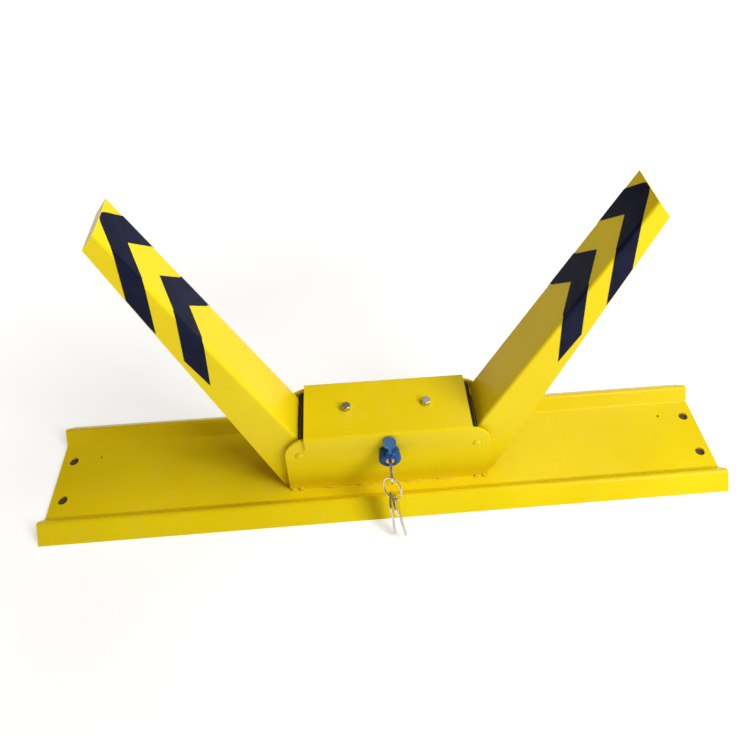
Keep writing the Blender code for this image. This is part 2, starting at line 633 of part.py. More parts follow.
def add_cap_ears(cap):
    """Two ears on top of the cap that hold the dust cover's pin."""
    for side, sign in SIDES.items():
        inner, outer = sorted((sign * EAR_INNER, sign * EAR_OUTER))
        foot_z = LOCK_Z + math.sqrt(CAP_R ** 2 - EAR_OUTER ** 2) - 0.8 * MM
        ear_r = 1.6 * MM
        outline = [(-HINGE_Y - ear_r, foot_z), (-HINGE_Y + ear_r + GAP, foot_z)] + \
            arc(-HINGE_Y, HINGE_Z, ear_r, 0, 180, 6)
        pin_hole = circle(-HINGE_Y, HINGE_Z, HINGE_PIN_R + GAP, 12)
        ear = flat_piece(f"{side}_cap_ear", [outline, pin_hole], outer - inner, BLUE,
                         at(x=(inner + outer) / 2) @ SIDEWAYS, CUTTERS)
        cut(cap, ear, "UNION")


def make_dust_cover():
    """A round flap with a barrel on the hinge pin; at rest it is open and leans back."""
    barrel_r, bore_r = 1.5 * MM, HINGE_PIN_R + GAP
    radius, centre, thick = 6.6 * MM, 10.5 * MM, 1.6 * MM
    place = at(0, -HINGE_Y, HINGE_Z) @ Matrix.Rotation(-FLAP_LEAN, 4, "X")
    outline = arc(0, centre, radius, -77, 257, 24) + [(-1.5 * MM, 0.9 * MM), (1.5 * MM, 0.9 * MM)]
    flap = flat_piece("dust_cover", [outline], thick, PALE_BLUE, place @ UPRIGHT)
    barrel = flat_piece("flap_barrel", [circle(0, 0, barrel_r, 14)], 2 * EAR_INNER - 0.4 * MM,
                        PALE_BLUE, place @ SIDEWAYS, CUTTERS)
    cut(flap, barrel, "UNION")
    bore = flat_piece("flap_bore", [circle(0, 0, bore_r, 12)], 20 * MM, STEEL,
                      place @ SIDEWAYS, CUTTERS)
    cut(flap, bore)
    flat_piece("dust_cover_pin", [circle(-HINGE_Y, HINGE_Z, HINGE_PIN_R, 10)], 2 * EAR_OUTER, ZINC,
               SIDEWAYS)


def make_plug(front, head_front):
    face = front - 0.8 * MM
    shoulder = head_front - 0.5 * MM
    back = BARREL_BACK_Y
    plug = turned("lock_plug", [(0.0, face), (PLUG_FACE_R, face), (PLUG_FACE_R, shoulder),
                                (PLUG_R, shoulder), (PLUG_R, back), (0.0, back)][::-1],
                  BRASS, FACE_OUT)
    weld_axis(plug)
    tenon = cutter_box("plug_tenon", (-3.5 * MM, -back - 1 * MM, LOCK_Z - 3.5 * MM),
                       (3.5 * MM, -CAM_BACK_Y - GAP, LOCK_Z + 3.5 * MM))
    cut(plug, tenon, "UNION")
    keyway = cutter_box("keyway", (-KEY_T / 2 - GAP, -60 * MM, LOCK_Z - KEY_BLADE_HALF - GAP),
                        (KEY_T / 2 + GAP, -face + KEY_BLADE + 1 * MM, LOCK_Z + KEY_BLADE_HALF + GAP))
    cut(plug, keyway)
    bore = cylinder("cam_screw_bore", 1.9 * MM, -14 * MM, 0, 0, LOCK_Z, STEEL, 16, CUTTERS)
    cut(plug, bore)


def make_cam():
    crank = CRANK_R * math.sin(math.radians(45))
    pins = {"left": (crank, -crank), "right": (-crank, crank)}
    square = 3.5 * MM + GAP
    holes = [circle(a, b, CAM_PIN_R + GAP, 14) for a, b in pins.values()]
    flat_piece("cam_plate", [circle(0, 0, CAM_R, 32), box_outline(-square, -square, square, square),
                             *holes], CAM_T, ZINC,
               at(0, -CAM_BACK_Y - CAM_T / 2, LOCK_Z) @ UPRIGHT)
    for side, (a, b) in pins.items():
        cylinder(f"{side}_cam_pin", CAM_PIN_R, -CAM_BACK_Y - CAM_T, LATCH_Y[SIDES[side]][1] + 0.5 * MM,
                 a, LOCK_Z + b, STEEL, 14)
    seat = -CAM_BACK_Y + GAP
    head = flat_piece("cam_screw", [circle(0, 0, 6.2 * MM, 20)], 2.0 * MM, ZINC,
                      at(0, seat + 1.0 * MM, LOCK_Z) @ UPRIGHT)
    shank = cylinder("cam_screw_shank", 1.6 * MM, -12 * MM, seat + 1.0 * MM, 0, LOCK_Z, ZINC, 16,
                     CUTTERS)
    cut(head, shank, "UNION")


# ---------------------------------------------------------------- keys

def key_outlines():
    """A flat key: bow centre at the origin, blade along +a, with cuts along one edge."""
    joint = math.degrees(math.asin(KEY_BLADE_HALF / KEY_BOW_R))
    shoulder = 12.5 * MM
    tip = shoulder + KEY_BLADE
    half = KEY_BLADE_HALF
    cuts = []
    depth = (1.2 * MM, 2.0 * MM, 0.8 * MM, 1.7 * MM)
    pitch = 4.2 * MM
    for i, deep in enumerate(depth):
        a = shoulder + 4.5 * MM + i * pitch
        cuts += [(a - 1.2 * MM, half), (a, half - deep), (a + 0.8 * MM, half - deep),
                 (a + 2.0 * MM, half)]
    outline = arc(0, 0, KEY_BOW_R, joint, 360 - joint, 22) + \
        [(tip - 2.5 * MM, -half), (tip, -half + 2.5 * MM), (tip, half - 3.5 * MM),
         (tip - 3.0 * MM, half)] + cuts[::-1]
    hole = circle(-KEY_HOLE_FROM_BOW, 0, KEY_HOLE_R, 16)
    return [outline, hole]


HANG_POINT = Vector((0, -BOW_CENTRE_Y - KEY_HOLE_FROM_BOW, LOCK_Z))


def make_keys():
    flat_piece("key", key_outlines(), KEY_T, NICKEL, at(0, -BOW_CENTRE_Y, LOCK_Z) @ SIDEWAYS)
    down = Vector((0, -math.sin(RING_LEAN), -math.cos(RING_LEAN)))
    tangent = Matrix.Rotation(RING_TWIST, 3, down) @ Vector((1, 0, 0))
    ring_normal = tangent.cross(down)
    centre = HANG_POINT + down * RING_R
    bpy.ops.mesh.primitive_torus_add(major_radius=RING_R, minor_radius=RING_WIRE,
                                     major_segments=36, minor_segments=8)
    made = bpy.context.object
    mesh = made.data
    bpy.data.objects.remove(made, do_unlink=True)
    mesh.name = "key_ring"
    mesh.shade_smooth()
    new_object("key_ring", mesh, NICKEL,
               at(*centre) @ Matrix((tangent, down, ring_normal)).transposed().to_4x4())
    bottom = centre + down * RING_R
    spare_holes = {}
    for number, offset in ((1, -SPARE_SPACING), (2, SPARE_SPACING)):
        lean = SPARE_LEAN[number]
        hang = Vector((0, -math.sin(lean), -math.cos(lean)))
        side = Matrix.Rotation(SPARE_TWIST, 3, hang) @ Vector((1, 0, 0))
        front = side.cross(hang)
        fan = Matrix.Rotation(SPARE_FAN[number], 3, front)
        blade, thickness = fan @ hang, fan @ side
        width = thickness.cross(blade)
        turn = Matrix((blade, width, thickness)).transposed().to_4x4()
        rise = RING_R - math.sqrt(RING_R ** 2 - offset ** 2)
        hole = bottom + tangent * offset - down * rise
        flat_piece(f"spare_key_{number}", key_outlines(), SPARE_T, NICKEL,
                   at(*hole) @ turn @ at(x=KEY_HOLE_FROM_BOW))
        spare_holes[number] = hole
    return spare_holes


# ---------------------------------------------------------------- joints

def hang_on_joints(spare_holes):
    """Parent each moving piece to an empty on its joint, without moving it."""
    groups = {"plug_joint": ((0, -CAM_BACK_Y, LOCK_Z),
                             ["lock_plug", "cam_plate", "cam_screw", "left_cam_pin", "right_cam_pin"]),
              "dust_cover_joint": ((0, -HINGE_Y, HINGE_Z), ["dust_cover"]),
              "key_joint": ((0, -BOW_CENTRE_Y, LOCK_Z), ["key"]),
              "ring_joint": (HANG_POINT, ["key_ring"])}
    for number, hole in spare_holes.items():
        groups[f"spare_key_{number}_joint"] = (hole, [f"spare_key_{number}"])
    for side, sign in SIDES.items():
        groups[f"{side}_arm_joint"] = ((sign * PIVOT_X, 0, PIVOT_Z),
                                       [f"{side}_arm", f"{side}_pivot_sleeve", f"{side}_latch_lug",
                                        f"{side}_tip_chevron", f"{side}_middle_chevron"])
        groups[f"{side}_bolt_joint"] = ((0, 0, LATCH_Z), [f"{side}_latch_bolt"])
    for name, (place, nodes) in groups.items():
        joint = bpy.data.objects.new(name, None)
        PARTS.objects.link(joint)
        joint.location = place
        bpy.context.view_layer.update()
        for node in nodes:
            piece = bpy.data.objects[node]
            piece.parent = joint
            piece.matrix_parent_inverse = joint.matrix_world.inverted()


make_tray()
make_cheeks()
make_cover()
make_cover_fixings()
make_arms()
make_latch_bolts()
make_bolt_guides()
make_lock()
make_dust_cover()
hang_on_joints(make_keys())
bpy.context.view_layer.update()
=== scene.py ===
"""Looks for the folding parking lock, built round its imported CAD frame.

Frame: X along the tray, Y towards the back, Z up, metres, origin on the ground.
The sheet metal, bars and hidden latch parts are their CAD nodes with rounded edges. The lock
cap, dust cover, keys, ring, cover bolts, pivot pins and film strips are modelled again here in
finer detail, and weld beads are added.
"""

import json
import math

import bmesh
import bpy
from mathutils import Matrix, Vector
from mathutils.noise import noise


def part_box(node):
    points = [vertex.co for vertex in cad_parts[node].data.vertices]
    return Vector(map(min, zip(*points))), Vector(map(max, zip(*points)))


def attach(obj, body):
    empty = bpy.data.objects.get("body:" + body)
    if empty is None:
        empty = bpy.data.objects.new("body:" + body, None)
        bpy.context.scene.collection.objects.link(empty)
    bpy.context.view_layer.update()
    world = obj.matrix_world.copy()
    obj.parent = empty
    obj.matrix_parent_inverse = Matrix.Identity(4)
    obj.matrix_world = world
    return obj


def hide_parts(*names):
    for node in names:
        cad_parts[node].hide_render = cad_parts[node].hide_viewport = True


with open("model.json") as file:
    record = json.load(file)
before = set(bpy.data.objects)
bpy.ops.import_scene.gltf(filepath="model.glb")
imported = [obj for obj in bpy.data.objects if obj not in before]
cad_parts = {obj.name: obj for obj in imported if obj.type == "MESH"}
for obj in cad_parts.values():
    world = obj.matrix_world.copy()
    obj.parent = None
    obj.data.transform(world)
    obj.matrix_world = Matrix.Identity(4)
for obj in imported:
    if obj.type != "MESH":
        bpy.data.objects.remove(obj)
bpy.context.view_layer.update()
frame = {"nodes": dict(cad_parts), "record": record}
NODES = frame["nodes"]
BODY_OF = {node: body for body, members in frame["record"]["behaviour"]["bodies"].items()
           for node in members}

MM = 0.001
WELD = 0.005 * MM
FLAT_WITHIN = math.radians(0.4)
RING_SIDES = 12
SIDES = {"left": -1, "right": 1}

# sizes and positions shared with the CAD
CHEEK_Y = 32.6 * MM
TRAY_TOP = 3.0 * MM
COVER_TOP = 90.8 * MM
BOLT_X, BOLT_HEX, BOLT_HEAD = 39.3 * MM, 4.2 * MM, 4.8 * MM
PIVOT_X, PIVOT_Z, PIVOT_R = 87.2 * MM, 62.7 * MM, 4.0 * MM
ARM_ANGLE = math.radians(66.0)
ARM_TIP_U, ARM_TOP_N = 282.0 * MM, 8.15 * MM
ARM_TIP_CUT_U, ARM_TIP_CUT_N, ARM_HEEL_N = 274.5 * MM, -8.45 * MM, -38.15 * MM
ARM_HALF_ROOT, ARM_HALF_TIP, ARM_BEND = 26.8 * MM, 21.8 * MM, 3.0 * MM
LOCK_Z, CAP_R, CAP_FRONT, CAP_WALL = 60.5 * MM, 11.0 * MM, 46.0 * MM, 1.7 * MM
CAP_SEAT = CHEEK_Y + 0.3 * MM
BARREL_HEAD_R = 9.2 * MM
PLUG_FACE_R = 4.4 * MM
HINGE_Y, HINGE_Z = -44.2 * MM, LOCK_Z + CAP_R + 1.9 * MM
EAR_INNER, EAR_OUTER, EAR_R = 1.8 * MM, 3.4 * MM, 1.6 * MM
FLAP_R, FLAP_UP, FLAP_T, FLAP_LEAN = 6.6 * MM, 10.5 * MM, 1.6 * MM, math.radians(28)
KEY_T, SPARE_T, BOW_R, KEY_HOLE_R = 2.2 * MM, 2.0 * MM, 11.0 * MM, 2.6 * MM
BOW_Y, HOLE_FROM_BOW, SHOULDER = -58.5 * MM, 6.0 * MM, 12.5 * MM
BLADE, BLADE_HALF = 24.0 * MM, 3.4 * MM
RING_R = 11.0 * MM
RING_LEAN, RING_TWIST, SPARE_TWIST = math.radians(28), math.radians(44), math.radians(8)
SPARES = {1: (-2.4 * MM, math.radians(27), math.radians(-3)),     # offset, lean, fan angle
          2: (2.4 * MM, math.radians(29), math.radians(-13))}
FILMS = {"tip": (286 * MM, 255 * MM), "middle": (220.5 * MM, 185.5 * MM)}   # lead, trail


# ---------------------------------------------------------------- materials

class Shader:
    """A Principled material with short calls for the nodes that feed it."""

    def __init__(self, name, **sockets):
        self.material = bpy.data.materials.new(name)
        self.material.use_nodes = True
        self.tree = self.material.node_tree
        self.bsdf = self.tree.nodes["Principled BSDF"]
        for socket, value in sockets.items():
            self.bsdf.inputs[socket.replace("_", " ")].default_value = value
        self.place = self.tree.nodes.new("ShaderNodeTexCoord").outputs["Object"]
        self.normal = None

    def link(self, source, target):
        self.tree.links.new(source, target)

    def feed(self, target, value):
        """Link a socket to the target, or give it a plain value."""
        if isinstance(value, bpy.types.NodeSocket):
            self.link(value, target)
        else:
            target.default_value = value

    def add(self, kind, operation=None, **inputs):
        node = self.tree.nodes.new("ShaderNode" + kind)
        if operation:
            node.operation = operation
        for socket, value in inputs.items():
            self.feed(node.inputs[socket.replace("_", " ")], value)
        return node

    def calc(self, operation, *values):
        """The result of a Math node on sockets or plain numbers."""
        node = self.add("Math", operation)
        for socket, value in zip(node.inputs, values):
            self.feed(socket, value)
        return node.outputs["Value"]

    def stretched(self, x, y, z, turn=0.0):
        node = self.add("Mapping", Vector=self.place)
        node.inputs["Scale"].default_value = (x, y, z)
        node.inputs["Rotation"].default_value = (0, turn, 0)
        return node.outputs["Vector"]

    def noise(self, scale, detail, rough=0.5, place=None):
        node = self.add("TexNoise", Vector=place or self.place, Scale=scale, Detail=detail,
                        Roughness=rough)
        return node.outputs["Fac"]

    def ranged(self, source, low, high, to_low=0.0, to_high=1.0):
        node = self.add("MapRange", Value=source)
        for i, value in enumerate((low, high, to_low, to_high)):
            node.inputs[i + 1].default_value = value
        return node.outputs["Result"]

    def patches(self, scale, detail, low=0.0, high=1.0, rough=0.5, place=None):
        """Soft noise that goes from low to high over its middle range."""
        return self.ranged(self.noise(scale, detail, rough, place), 0.3, 0.7, low, high)

    def beyond(self, axis, limit):
        """1 where the place is further than limit from the middle along an axis, else 0."""
        along = self.add("SeparateXYZ", Vector=self.place).outputs[axis]
        return self.calc("GREATER_THAN", self.calc("ABSOLUTE", along), limit)

    def mixed(self, share, first, second):
        """Colour that goes from first to second as share goes from 0 to 1."""
        node = self.add("Mix")
        node.data_type = "RGBA"
        self.feed(node.inputs[0], share)
        for socket, colour in ((node.inputs[6], first), (node.inputs[7], second)):
            self.feed(socket, (*colour, 1.0) if isinstance(colour, tuple) else colour)
        return node.outputs[2]

    def bump(self, height, depth):
        node = self.add("Bump", Height=height, Distance=depth)
        if self.normal:
            self.link(self.normal, node.inputs["Normal"])
        self.normal = node.outputs["Normal"]

    def done(self, colour, roughness):
        for socket, source in (("Base Color", colour), ("Roughness", roughness),
                               ("Normal", self.normal)):
            self.link(source, self.bsdf.inputs[socket])
        return self.material


def powder_coat():
    """Glossy yellow powder coat: orange peel, pigment drift, a little dust and rubbed spots."""
    s = Shader("yellow_powder_coat", Coat_Weight=0.05, Coat_Roughness=0.08, Specular_IOR_Level=0.09)
    colour = s.mixed(s.patches(9.0, 3.0), (0.82, 0.640, 0.004), (0.88, 0.705, 0.007))
    speck = s.ranged(s.noise(900.0, 1.0), 0.70, 0.78, 0.0, 0.12)
    colour = s.mixed(speck, colour, (0.58, 0.40, 0.01))
    up = s.add("SeparateXYZ", Vector=s.add("NewGeometry").outputs["Normal"]).outputs["Z"]
    settled = s.ranged(s.noise(38.0, 6.0, 0.65), 0.52, 0.78, 0.0, 0.05)
    dust = s.calc("MULTIPLY", settled, s.ranged(up, 0.2, 0.9))
    colour = s.mixed(dust, colour, (0.66, 0.60, 0.42))
    streaks = s.noise(60.0, 4.0, 0.6, s.stretched(1.0, 7.0, 3.0, 0.5))
    scuffs = s.ranged(streaks, 0.60, 0.72, 0.0, 0.08)
    roughness = s.calc("ADD", s.patches(140.0, 3.0, 0.24, 0.36), scuffs)
    s.bump(s.noise(420.0, 2.0, 0.4), 0.025 * MM)
    s.bump(s.noise(2600.0, 1.0), 0.008 * MM)
    return s.done(colour, roughness)


def reflective_film():
    """Dark sheeting under a clear top layer, with very fine cells and a few scratches."""
    s = Shader("dark_reflective_film", Coat_Weight=0.07, Coat_Roughness=0.06,
               Specular_IOR_Level=0.03)
    cells = s.add("TexVoronoi", Vector=s.place, Scale=1400.0).outputs["Distance"]
    colour = s.mixed(s.patches(70.0, 3.0), (0.004, 0.006, 0.022), (0.008, 0.011, 0.038))
    streaks = s.noise(90.0, 5.0, 0.7, s.stretched(1.0, 12.0, 1.0, 0.8))
    scratches = s.ranged(streaks, 0.66, 0.74, 0.0, 0.25)
    colour = s.mixed(scratches, colour, (0.02, 0.024, 0.05))
    s.bump(cells, 0.015 * MM)
    s.bump(s.noise(120.0, 2.0), 0.08 * MM)
    return s.done(colour, s.patches(160.0, 4.0, 0.30, 0.46))


def metal(name, dark, light, rough, grain=(1.0, 1.0, 1.0), blotch=60.0):
    """Plated or bare metal: blotches of tone, fine drawn grain and pale scratches."""
    s = Shader(name, Metallic=1.0)
    along = s.stretched(*grain)
    colour = s.mixed(s.patches(blotch, 4.0), dark, light)
    scratches = s.ranged(s.noise(500.0, 3.0, 0.6, along), 0.60, 0.72, 0.0, 0.35)
    colour = s.mixed(scratches, colour, tuple(min(1.0, c * 1.25) for c in light))
    s.bump(s.noise(700.0, 3.0, 0.6, along), 0.012 * MM)
    s.bump(s.noise(150.0, 2.0), 0.03 * MM)
    return s.done(colour, s.patches(240.0, 4.0, rough - 0.08, rough + 0.10, 0.6, along))


def plastic(name, dark, light, rough, **sockets):
    """Moulded plastic: fine spark-eroded texture and a slight change of tone."""
    s = Shader(name, **sockets)
    colour = s.mixed(s.patches(120.0, 3.0), dark, light)
    s.bump(s.noise(900.0, 2.0), 0.02 * MM)
    return s.done(colour, s.patches(260.0, 3.0, rough - 0.05, rough + 0.08))


def weld_metal():
    """A weld bead under the same paint: rougher, with burnt specks."""
    s = Shader("painted_weld", Coat_Weight=0.05, Coat_Roughness=0.2, Specular_IOR_Level=0.15)
    specks = s.ranged(s.noise(1100.0, 3.0), 0.58, 0.70, 0.0, 0.6)
    colour = s.mixed(s.noise(240.0, 3.0), (0.74, 0.53, 0.01), (0.86, 0.66, 0.03))
    colour = s.mixed(specks, colour, (0.30, 0.20, 0.02))
    s.bump(s.noise(600.0, 4.0), 0.15 * MM)
    return s.done(colour, s.patches(400.0, 3.0, 0.28, 0.5))


def floor_material():
    """Pale studio paper, lit a little from within so that it stays pale, the glow weaker near the
    middle as painted soft shade round the object; a painted shadow under the tray.
    """
    # half sizes of the painted shadow under the tray, and the distances over which the glow rises
    painted_shadow_half_x, painted_shadow_half_y, near, far = 0.345, 0.070, 0.32, 0.85
    s = Shader("studio_floor", Specular_IOR_Level=0.2, Emission_Color=(0.93, 0.97, 1.0, 1.0))
    away = s.add("VectorMath", "LENGTH")
    s.link(s.place, away.inputs[0])
    # the glow rises from near to far: weaker round the object, a painted soft shade
    glow = s.ranged(away.outputs["Value"], near, far, 0.57, 0.95)
    # 1 outside the tray's footprint, 0 under it: under the tray the floor has no glow, a painted shadow
    outside_painted_shadow = s.calc("MAXIMUM", s.beyond("X", painted_shadow_half_x), s.beyond("Y", painted_shadow_half_y))
    s.link(s.calc("MULTIPLY", glow, outside_painted_shadow), s.bsdf.inputs["Emission Strength"])
    colour = s.mixed(s.noise(5.0, 4.0), (0.66, 0.66, 0.66), (0.68, 0.68, 0.68))
    # dark colour under the tray: a painted shadow, seen through the anchor holes
    colour = s.mixed(outside_painted_shadow, (0.09, 0.07, 0.05), colour)
    s.bump(s.noise(500.0, 3.0), 0.05 * MM)
    return s.done(colour, s.patches(40.0, 2.0, 0.75, 0.9))


MATERIALS = {
    "yellow_powder_coat": powder_coat(),
    "dark_reflective_film": reflective_film(),
    "zinc_plated_steel": metal("zinc_plated_steel", (0.50, 0.50, 0.49), (0.66, 0.65, 0.62), 0.32),
    # a dark, blackened tone; on the stop bars it also stands in for the shade in the gap between cover
    # and arms
    "bare_steel": metal("bare_steel", (0.050, 0.042, 0.036), (0.085, 0.075, 0.066), 0.48, (1, 9, 1)),
    "brass": metal("brass", (0.58, 0.34, 0.17), (0.72, 0.46, 0.25), 0.30),
    "nickel_plate": metal("nickel_plate", (0.56, 0.55, 0.53), (0.76, 0.75, 0.72), 0.24,
                          (1.0, 1.0, 6.0), 140.0),
    "blue_plastic": plastic("blue_plastic", (0.001, 0.060, 0.25), (0.002, 0.078, 0.30), 0.30,
                            Specular_IOR_Level=0.25),
    "pale_blue_plastic": plastic("pale_blue_plastic", (0.032, 0.125, 0.31), (0.040, 0.145, 0.36), 0.36),
    "nylon": plastic("nylon", (0.70, 0.69, 0.65), (0.78, 0.77, 0.73), 0.50),
}
WELD_PAINT = weld_metal()


# ---------------------------------------------------------------- mesh helpers

def as_object(name, bm, body, slot, stands_for=(), smooth_below=32.0, material=None):
    """Turn a bmesh into a piece that rides on a body and takes a slot's finish."""
    bmesh.ops.remove_doubles(bm, verts=bm.verts, dist=WELD)
    bmesh.ops.recalc_face_normals(bm, faces=bm.faces)
    mesh = bpy.data.meshes.new(name)
    bm.to_mesh(mesh)
    bm.free()
    mesh.shade_smooth()
    mesh.set_sharp_from_angle(angle=math.radians(smooth_below))
    mesh.materials.append(material or MATERIALS[slot])
    obj = bpy.data.objects.new(name, mesh)
    bpy.context.scene.collection.objects.link(obj)
    shade = obj.modifiers.new("even_shading", "WEIGHTED_NORMAL")
    shade.keep_sharp = True
    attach(obj, body)
    if stands_for:
        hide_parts(*stands_for)


def clean_copy(node):
    """A bmesh of a CAD node's faces, with its flat areas back in one piece."""
    source = NODES[node].data
    mesh = bpy.data.meshes.new("copy")
    mesh.from_pydata([v.co for v in source.vertices], [], [list(p.vertices) for p in source.polygons])
    bm = bmesh.new()
    bm.from_mesh(mesh)
    bpy.data.meshes.remove(mesh)
    bmesh.ops.remove_doubles(bm, verts=bm.verts, dist=WELD)
    bmesh.ops.dissolve_limit(bm, angle_limit=FLAT_WITHIN, verts=bm.verts, edges=bm.edges)
    return bm


def round_edges(bm, width, segments):
    """Round every sharp edge by width, in place."""
    sharp_above = math.radians(35)
    sharp = [e for e in bm.edges if len(e.link_faces) == 2 and e.calc_face_angle() > sharp_above]
    bmesh.ops.bevel(bm, geom=sharp, offset=width, segments=segments, profile=0.5,
                    affect="EDGES", clamp_overlap=True)


def smooth_bends(bm):
    """Split the facets of the long press-brake bends so that they shade evenly."""
    width, least_length, least_width = 0.28 * MM, 50 * MM, 0.65 * MM
    least_angle, most_angle = math.radians(8), math.radians(26)
    facets = [e for e in bm.edges
              if len(e.link_faces) == 2 and e.calc_length() > least_length
              and least_angle < e.calc_face_angle() < most_angle
              and all(f.calc_area() / e.calc_length() > least_width for f in e.link_faces)]
    bmesh.ops.bevel(bm, geom=facets, offset=width, segments=2, profile=0.5,
                    affect="EDGES", clamp_overlap=False)


def softened(node, slot, width, segments=3, bends=False):
    """A CAD node with its sharp edges rounded, and its long bends smoothed if asked."""
    bm = clean_copy(node)
    round_edges(bm, width, segments)
    if bends:
        smooth_bends(bm)
    as_object(node + "_finish", bm, BODY_OF[node], slot, [node])


def turned(profile, steps, place):
    """A bmesh from a closed profile of (radius, along) points, turned about local Z."""
    bm = bmesh.new()
    rings = []
    for i in range(steps):
        c, s = math.cos(2 * math.pi * i / steps), math.sin(2 * math.pi * i / steps)
        rings.append([bm.verts.new(place @ Vector((r * c, r * s, z))) for r, z in profile])
    for ring, after in zip(rings, rings[1:] + rings[:1]):
        for j in range(len(profile)):
            k = (j + 1) % len(profile)
            if profile[j][0] > WELD or profile[k][0] > WELD:
                bm.faces.new((ring[j], after[j], after[k], ring[k]))
    bmesh.ops.remove_doubles(bm, verts=bm.verts, dist=WELD)
    bmesh.ops.dissolve_degenerate(bm, dist=WELD / 5, edges=bm.edges)
    return bm


def arc(cx, cy, r, start, end, steps):
    """Points on an arc, angles in degrees, both ends included."""
    turns = [math.radians(start + (end - start) * i / steps) for i in range(steps + 1)]
    return [(cx + r * math.cos(a), cy + r * math.sin(a)) for a in turns]


def plate(outlines, thickness, place, edge, segments=2):
    """A bmesh of a flat outline with holes, centred on its plane, its rims rounded by edge."""
    curve = bpy.data.curves.new("outline", "CURVE")
    curve.dimensions, curve.fill_mode = "2D", "BOTH"
    curve.extrude = thickness / 2
    for outline in outlines:
        spline = curve.splines.new("POLY")
        spline.points.add(len(outline) - 1)
        for point, (a, b) in zip(spline.points, outline):
            point.co = (a, b, 0, 1)
        spline.use_cyclic_u = True
    flat = bpy.data.objects.new("outline", curve)
    bpy.context.scene.collection.objects.link(flat)
    bpy.context.view_layer.update()
    mesh = bpy.data.meshes.new_from_object(flat.evaluated_get(bpy.context.evaluated_depsgraph_get()))
    bpy.data.objects.remove(flat, do_unlink=True)
    bpy.data.curves.remove(curve)
    bm = bmesh.new()
    bm.from_mesh(mesh)
    bpy.data.meshes.remove(mesh)
    bmesh.ops.remove_doubles(bm, verts=bm.verts, dist=WELD)
    bmesh.ops.dissolve_limit(bm, angle_limit=FLAT_WITHIN, verts=bm.verts, edges=bm.edges)
    rims = [e for e in bm.edges
            if len(e.link_faces) == 2 and e.calc_face_angle() > math.radians(80)
            and abs(e.verts[0].co.z - e.verts[1].co.z) < WELD]
    bmesh.ops.bevel(bm, geom=rims, offset=edge, segments=segments, profile=0.5,
                    affect="EDGES", clamp_overlap=True)
    bmesh.ops.transform(bm, matrix=place, verts=bm.verts)
    return bm


def merged(*parts):
    """One bmesh from several; the others are freed."""
    first = parts[0]
    for other in parts[1:]:
        mesh = bpy.data.meshes.new("part")
        other.to_mesh(mesh)
        other.free()
        first.from_mesh(mesh)
        bpy.data.meshes.remove(mesh)
    return first


def at(x=0.0, y=0.0, z=0.0):
    return Matrix.Translation((x, y, z))


UPRIGHT = Matrix.Rotation(math.radians(90), 4, "X")
SIDEWAYS = Matrix(((0, 0, 1, 0), (1, 0, 0, 0), (0, 1, 0, 0), (0, 0, 0, 1)))
FACE_OUT = at(z=LOCK_Z) @ UPRIGHT            # local Z to -Y, on the lock's axis


# ---------------------------------------------------------------- steelwork

def make_steelwork():
    """The tray, the box, the arms and the bars that the raised arms lean on."""
    softened("base_plate", "yellow_powder_coat", 0.45 * MM, bends=True)
    softened("front_cheek", "yellow_powder_coat", 0.45 * MM)
    softened("rear_cheek", "yellow_powder_coat", 0.45 * MM)
    softened("cover", "yellow_powder_coat", 0.35 * MM, bends=True)
    for side in SIDES:
        softened(f"{side}_arm", "yellow_powder_coat", 0.40 * MM, bends=True)
        # the stop bars are dark bare steel, partly their own finish and partly painted shade: they make
        # the gap between the cover's ends and the arms read dark
        softened(f"{side}_stop_bar", "bare_steel", 0.40 * MM)


def make_weld(name, start, end, radius, ripples):
    """A bead along a line: overlapping half-round ripples that taper at both ends."""
    ripple_steps, around, flatten, scallop_depth, waver = 6, 14, 0.8, 0.10, 0.12
    least_r = 0.02 * MM
    start, end = Vector(start), Vector(end)
    along = (end - start).normalized()
    side = along.cross(Vector((0, 0, 1))).normalized()
    over = side.cross(along)
    steps = ripples * ripple_steps
    bm = bmesh.new()
    rings = []
    for i in range(steps + 1):
        t = i / steps
        swell = math.sqrt(max(0.0, 1 - abs(2 * t - 1) ** 6))
        scallop = 1.0 + scallop_depth * math.sin(2 * math.pi * ripples * t)
        drift = waver * noise(Vector((t * ripples, 0.3, 7.1)))
        centre = start.lerp(end, t) + side * radius * drift
        uneven = 1 + waver * noise(Vector((t * 5, 2.2, 0.4)))
        r = max(radius * swell * scallop * uneven, least_r)
        rings.append([bm.verts.new(centre + side * r * math.cos(a) + over * r * flatten * math.sin(a))
                      for a in (2 * math.pi * k / around for k in range(around))])
    for a, b in zip(rings, rings[1:]):
        for k in range(around):
            bm.faces.new((a[k], a[(k + 1) % around], b[(k + 1) % around], b[k]))
    bm.faces.new(rings[0])
    bm.faces.new(rings[-1])
    as_object(name, bm, "root", "yellow_powder_coat", smooth_below=70, material=WELD_PAINT)


def make_welds():
    """Spots at the cheeks' ends, and short stitches along their feet."""
    spots, spot_half, spot_r = (100.3 * MM, 92.0 * MM), 2.2 * MM, 2.0 * MM
    stitches, stitch_half, stitch_r = (24.0 * MM, 58.0 * MM), 9.0 * MM, 1.3 * MM
    z = TRAY_TOP + 0.6 * MM
    spot_z = z + 0.4 * MM
    for end, sign_y in (("front", -1), ("rear", 1)):
        y = sign_y * (CHEEK_Y + 0.5 * MM)
        for side, sign in SIDES.items():
            for number, x in enumerate(spots, 1):
                make_weld(f"{side}_{end}_spot_{number}", (sign * (x - spot_half), y, spot_z),
                          (sign * (x + spot_half), y, spot_z), spot_r, 2)
            for number, x in enumerate(stitches, 1):
                make_weld(f"{side}_{end}_stitch_{number}", (sign * (x - stitch_half), y, z),
                          (sign * (x + stitch_half), y, z), stitch_r, 9)


# ---------------------------------------------------------------- film on the arms

def arm_half_width(u):
    return ARM_HALF_ROOT + (ARM_HALF_TIP - ARM_HALF_ROOT) * u / ARM_TIP_U


